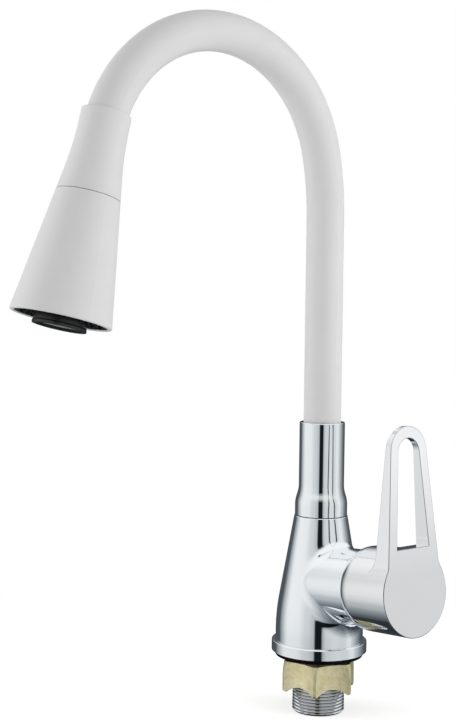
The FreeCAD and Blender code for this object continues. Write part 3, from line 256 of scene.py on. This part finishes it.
# The share by which its roughness goes up and down.
ROUGH_SHARE = 0.15


def moulded(name, colour, roughness, grain_height=0.02 * MM):
    """Moulded plastic with a spark-eroded grain."""
    look = Look(name, colour, roughness)
    grain = look.noise(2600, detail=2.0)
    patches = look.noise(90, detail=3.0)
    paler = tuple(value * PATCH_GAIN + PATCH_LIFT for value in colour)
    look.tinted(patches, colour, paler)
    look.rough(grain, roughness * (1 - ROUGH_SHARE), roughness * (1 + ROUGH_SHARE))
    look.bump(grain, grain_height)
    return look.material


def rubber():
    look = Look("black_rubber", (0.003, 0.003, 0.003), roughness=0.6)
    look.shader.inputs["Specular IOR Level"].default_value = 0.05
    bloom = look.noise(150, detail=5.0)
    look.tinted(bloom, (0.002, 0.002, 0.002), (0.005, 0.005, 0.006))
    grain = look.noise(3000, detail=2.0)
    look.rough(bloom, 0.5, 0.72)
    look.bump(grain, 0.02 * MM)
    return look.material


def ceramic():
    look = Look("lapped_ceramic", (0.86, 0.84, 0.78), roughness=0.18)
    specks = look.noise(5000, detail=1.0)
    look.tinted(specks, (0.84, 0.82, 0.75), (0.9, 0.88, 0.82))
    look.rough(specks, 0.14, 0.24)
    return look.material


# Radii between which the plate pales from painted shade in the roots of the thread to its own bright
# colour at the crests.
THREAD_ROOT = 15.5 * MM
THREAD_CREST = 16.5 * MM


def plated_shank():
    """Nickel plate, with painted shade that darkens it towards the roots of the thread."""
    look = Look("nickel_plate", (0.8, 0.8, 0.8), roughness=0.12, metallic=1.0)
    radius = look.length(look.stretched((1.0, 1.0, 0.0)))
    crest = look.ranged(radius, THREAD_ROOT, THREAD_CREST)
    # Painted shade: the colour darkens from the crests down into the thread's roots.
    look.tinted(crest, (0.3, 0.31, 0.33), (0.9, 0.91, 0.93), start=0.1, end=0.9)
    look.rough(look.noise(500, detail=3.0), 0.1, 0.2)
    return look.material


# The way the lever's front faces, and the cosines of the angle to it at which the rounded edges and
# then the front itself begin.
BOSS_TILT = math.radians(5.1)
FRONT_NORMAL = Vector((math.cos(BOSS_TILT), 0.0, math.sin(BOSS_TILT)))
EDGE_COSINES = (0.3, 0.5)
FRONT_COSINES = (0.985, 0.995)
# Heights between which painted light pales the front up the loop, and the painted brightness of edges
# and front at both: painted shade on the edges and a painted highlight higher up the loop.
LOOP_HEIGHTS = (0.065, 0.135)
PAINTED_EDGE_SHADES = (0.3, 0.6)
PAINTED_FRONT_SHADES = (0.77, 1.0)
# Brightness of the rest of the lever.
SIDE_SHADE = 0.88


def lever_chrome_painted_light():
    """Chrome with a softer front. Painted light pales the front up the loop, and painted shade darkens
    the rounded edges round it.
    """
    look = Look("lever_chrome", CHROME, roughness=0.04, metallic=1.0)
    facing = look.node("ShaderNodeVectorMath", operation="DOT_PRODUCT")
    look.link(look.normal, facing.inputs[0])
    facing.inputs[1].default_value = FRONT_NORMAL
    front = look.ranged(facing.outputs["Value"], *FRONT_COSINES)
    edge = look.ranged(facing.outputs["Value"], *EDGE_COSINES)
    haze = look.noise(70, detail=4.0)
    polished = look.spread(haze, 0.03, 0.06)
    softer = look.spread(haze, 0.1, 0.14)
    look.link(look.mixed(front, polished, softer), look.shader.inputs["Roughness"])
    height = look.ranged(look.split(look.place)["Z"], *LOOP_HEIGHTS)
    # Painted light: the front's colour pales with height up the loop.
    painted_face = look.mixed(height, *PAINTED_FRONT_SHADES)
    # Painted shade: the rounded edges round the front are darkened, more so low down.
    sides_and_painted_edges = look.mixed(edge, SIDE_SHADE, look.mixed(height, *PAINTED_EDGE_SHADES))
    look.link(look.mixed(front, sides_and_painted_edges, painted_face), look.shader.inputs["Base Color"])
    return look.material


finishes = {
    "chrome": polished_chrome(),
    "lever_chrome": lever_chrome_painted_light(),
    "plated_shank": plated_shank(),
    "silicone": silicone("white_silicone", (0.75, 0.75, 0.745)),
    "white_plastic": silicone("soft_white_plastic", (0.76, 0.76, 0.755)),
    "black_plastic": moulded("black_plastic", (0.004, 0.004, 0.004), roughness=0.42),
    "dark_plastic": moulded("smooth_black_plastic", (0.008, 0.008, 0.008), roughness=0.24,
                            grain_height=0.006 * MM),
    "grey_plastic": moulded("grey_plastic", (0.36, 0.37, 0.38), roughness=0.45),
    "black_rubber": rubber(),
    "cast_brass": cast_brass(),
    "turned_brass": turned_brass(),
    "steel": steel(),
    "ceramic": ceramic(),
}


def dress_nodes():
    """Gives each CAD node the finish of its slot."""
    slots = {part["node"]: part["material_slot"] for part in frame["record"]["subparts"]}
    for name, node in frame["nodes"].items():
        node.data.materials.clear()
        node.data.materials.append(finishes[slots[name]])


# Studio

# Brightness of the studio for matt surfaces, and its strength as polished surfaces see it.
FILL = 0.42
STUDIO_STRENGTH = 1.1

# Brightness of the walls round the tap, by degrees to the right of the camera as seen from the tap:
# two big soft boxes, dark behind the tap and with a dark gap at the camera.
WALLS = [
    (-180, 0.07), (-130, 0.09), (-119, 0.3), (-113, 0.46), (-107, 0.55), (-101, 0.69), (-94, 0.8),
    (-85, 0.82), (-60, 0.8), (-32, 0.62), (-15, 0.5), (-9.5, 0.01), (5, 0.01), (10, 0.45), (18, 0.62),
    (45, 0.69), (62, 0.66), (72, 0.67), (80, 0.77), (89, 0.81), (96, 0.66), (103, 0.52), (120, 0.29),
    (131, 0.15), (146, 0.08), (180, 0.07),
]
# Brightness by height, as the sine of the elevation: it falls off slowly towards the ground.
HEIGHTS = [
    (-1.0, 0.15), (-0.9, 0.2), (-0.73, 0.38), (-0.5, 0.66), (-0.3, 0.88), (-0.15, 0.97),
    (0.0, 1.0), (1.0, 1.0),
]
# The ceiling is evenly bright. The walls run into it between these sines of the elevation.
CEILING = 0.88
CEILING_START = 0.2
CEILING_FULL = 0.6
# Powers that turn a grey a little blue as it darkens.
RED_POWER = 1.08
BLUE_POWER = 0.95


def cool(bright):
    """A grey that turns a little blue as it darkens."""
    return (bright ** RED_POWER, bright, bright ** BLUE_POWER, 1.0)


def grey_ramp(nodes, share, stops):
    """The cool greys of the stops, by a share from 0 at the first stop to 1 at the last."""
    ramp = nodes.node("ShaderNodeValToRGB")
    ramp.color_ramp.interpolation = "EASE"
    places = [place for place, bright in stops]
    shades = [cool(bright) for place, bright in stops]
    # A new ramp already has its two ends.
    for place in places[1:-1]:
        ramp.color_ramp.elements.new((place - places[0]) / (places[-1] - places[0]))
    for element, shade in zip(ramp.color_ramp.elements, shades):
        element.color = shade
    nodes.link(share, ramp.inputs["Fac"])
    return ramp.outputs["Color"]


def room_colour(nodes):
    """The walls, which run into the ceiling and darken towards the ground."""
    place = nodes.node("ShaderNodeTexCoord")
    turned = nodes.node("ShaderNodeVectorRotate", rotation_type="Z_AXIS")
    turned.inputs["Angle"].default_value = -math.radians(CAMERA_AZIMUTH)
    nodes.link(place.outputs["Generated"], turned.inputs["Vector"])
    way = nodes.split(turned.outputs["Vector"])
    toward = nodes.calculated("MULTIPLY", way["Y"], -1.0)
    angle = nodes.calculated("ARCTAN2", way["X"], toward)
    walls = grey_ramp(nodes, nodes.ranged(angle, -math.pi, math.pi), WALLS)
    overhead = nodes.ranged(way["Z"], CEILING_START, CEILING_FULL, interpolation_type="SMOOTHSTEP")
    room = nodes.mixed(overhead, walls, cool(CEILING), data_type="RGBA")
    falloff = grey_ramp(nodes, nodes.ranged(way["Z"], -1.0, 1.0), HEIGHTS)
    return nodes.mixed(1.0, room, falloff, data_type="RGBA", blend_type="MULTIPLY")


def make_world():
    """White to the camera. Polished surfaces see the room, and matt ones an even fill."""
    world = bpy.data.worlds.new("studio")
    bpy.context.scene.world = world
    world.use_nodes = True
    world.node_tree.nodes.clear()
    nodes = Nodes(world.node_tree)
    ray = nodes.node("ShaderNodeLightPath").outputs
    studio = nodes.background(room_colour(nodes), STUDIO_STRENGTH)
    lit = nodes.either(ray["Is Diffuse Ray"], studio, nodes.background(WHITE, FILL))
    seen = nodes.either(ray["Is Camera Ray"], lit, nodes.background(WHITE))
    output = nodes.node("ShaderNodeOutputWorld")
    nodes.link(seen, output.inputs["Surface"])


# Side of the square lamps, and the place that they look at.
LAMP_SIDE = 0.9
TAP_MIDDLE = Vector((0.0, -0.08, 0.2))


def round_the_tap(azimuth, distance, height):
    """A place by its degrees round the tap from the front, its distance and its height."""
    turn = math.radians(azimuth)
    return Vector((math.sin(turn) * distance, -math.cos(turn) * distance, height))


def soft_box(name, place, power):
    """A square lamp that looks at the tap's middle. Polished surfaces don't mirror it."""
    lamp = bpy.data.lights.new(name, "AREA")
    lamp.shape = "SQUARE"
    lamp.size = LAMP_SIDE
    lamp.energy = power
    held = bpy.data.objects.new(name, lamp)
    bpy.context.scene.collection.objects.link(held)
    held.location = place
    held.rotation_mode = "QUATERNION"
    held.rotation_quaternion = (TAP_MIDDLE - place).to_track_quat("-Z", "Y")
    held.visible_glossy = False


def make_lamps():
    soft_box("soft_box_left", round_the_tap(CAMERA_AZIMUTH - 80, distance=1.1, height=0.35), power=5.6)
    soft_box("soft_box_right", round_the_tap(CAMERA_AZIMUTH + 70, distance=1.1, height=0.35), power=7.0)
    soft_box("soft_box_top", round_the_tap(CAMERA_AZIMUTH, distance=0.6, height=1.3), power=1.0)


# The floor keeps its shadow near the tap and turns plain white between these distances.
FADE_START = 0.12
FADE_END = 0.4
# Its grey, the light that lifts this to near white for the camera, and half its side.
FLOOR_GREY = (0.9, 0.9, 0.9, 1.0)
FLOOR_LIFT = 0.48
FLOOR_HALF = 3.0


def pale_floor():
    """A pale grey that fades to plain white away from the tap."""
    material = bpy.data.materials.new("pale_floor")
    material.use_nodes = True
    material.node_tree.nodes.clear()
    nodes = Nodes(material.node_tree)
    place = nodes.node("ShaderNodeTexCoord").outputs["Object"]
    camera_ray = nodes.node("ShaderNodeLightPath").outputs["Is Camera Ray"]
    away = nodes.ranged(nodes.length(place), FADE_START, FADE_END, interpolation_type="SMOOTHSTEP")
    matt = nodes.node("ShaderNodeBsdfDiffuse")
    matt.inputs["Color"].default_value = FLOOR_GREY
    lift = nodes.node("ShaderNodeEmission")
    nodes.link(nodes.calculated("MULTIPLY", camera_ray, FLOOR_LIFT), lift.inputs["Strength"])
    near = nodes.node("ShaderNodeAddShader")
    nodes.link(matt.outputs["BSDF"], near.inputs[0])
    nodes.link(lift.outputs["Emission"], near.inputs[1])
    white = nodes.node("ShaderNodeEmission")
    share = nodes.calculated("MULTIPLY", away, camera_ray)
    ground = nodes.either(share, near.outputs["Shader"], white.outputs["Emission"])
    output = nodes.node("ShaderNodeOutputMaterial")
    nodes.link(ground, output.inputs["Surface"])
    return material


def make_floor():
    """A square floor at the lower end of the shank."""
    lowest = CAD_BOX[0].z
    sides = ((-1, -1), (1, -1), (1, 1), (-1, 1))
    corners = [(x * FLOOR_HALF, y * FLOOR_HALF, lowest) for x, y in sides]
    mesh = bpy.data.meshes.new("floor")
    mesh.from_pydata(corners, [], [(0, 1, 2, 3)])
    mesh.materials.append(pale_floor())
    floor = bpy.data.objects.new("floor", mesh)
    bpy.context.scene.collection.objects.link(floor)
    floor.visible_glossy = False


def make_camera():
    """The photo's camera, with its small pan, pitch and roll and its long lens."""
    heading = math.radians(CAMERA_AZIMUTH + CAMERA_PAN)
    pitch = math.radians(CAMERA_PITCH)
    roll = math.radians(CAMERA_ROLL)
    level = Vector((-math.sin(heading), math.cos(heading), 0.0))
    ahead = level * math.cos(pitch) - Vector((0.0, 0.0, math.sin(pitch)))
    level_right = Vector((math.cos(heading), math.sin(heading), 0.0))
    level_up = level_right.cross(ahead)
    right = level_right * math.cos(roll) + level_up * math.sin(roll)
    up = level_up * math.cos(roll) - level_right * math.sin(roll)
    data = bpy.data.cameras.new("camera")
    data.sensor_width = 36.0
    data.lens = data.sensor_width * FOCAL_PIXELS / PHOTO_HEIGHT
    data.clip_start = 0.05
    data.clip_end = 50.0
    camera = bpy.data.objects.new("camera", data)
    bpy.context.scene.collection.objects.link(camera)
    place = round_the_tap(CAMERA_AZIMUTH, CAMERA_DISTANCE, CAMERA_HEIGHT)
    turn = Matrix((right, up, -ahead)).transposed()
    camera.matrix_world = Matrix.Translation(place) @ turn.to_4x4()
    bpy.context.scene.camera = camera


dress_nodes()
make_world()
make_lamps()
make_floor()
make_camera()
bpy.context.scene.view_settings.view_transform = "Standard"
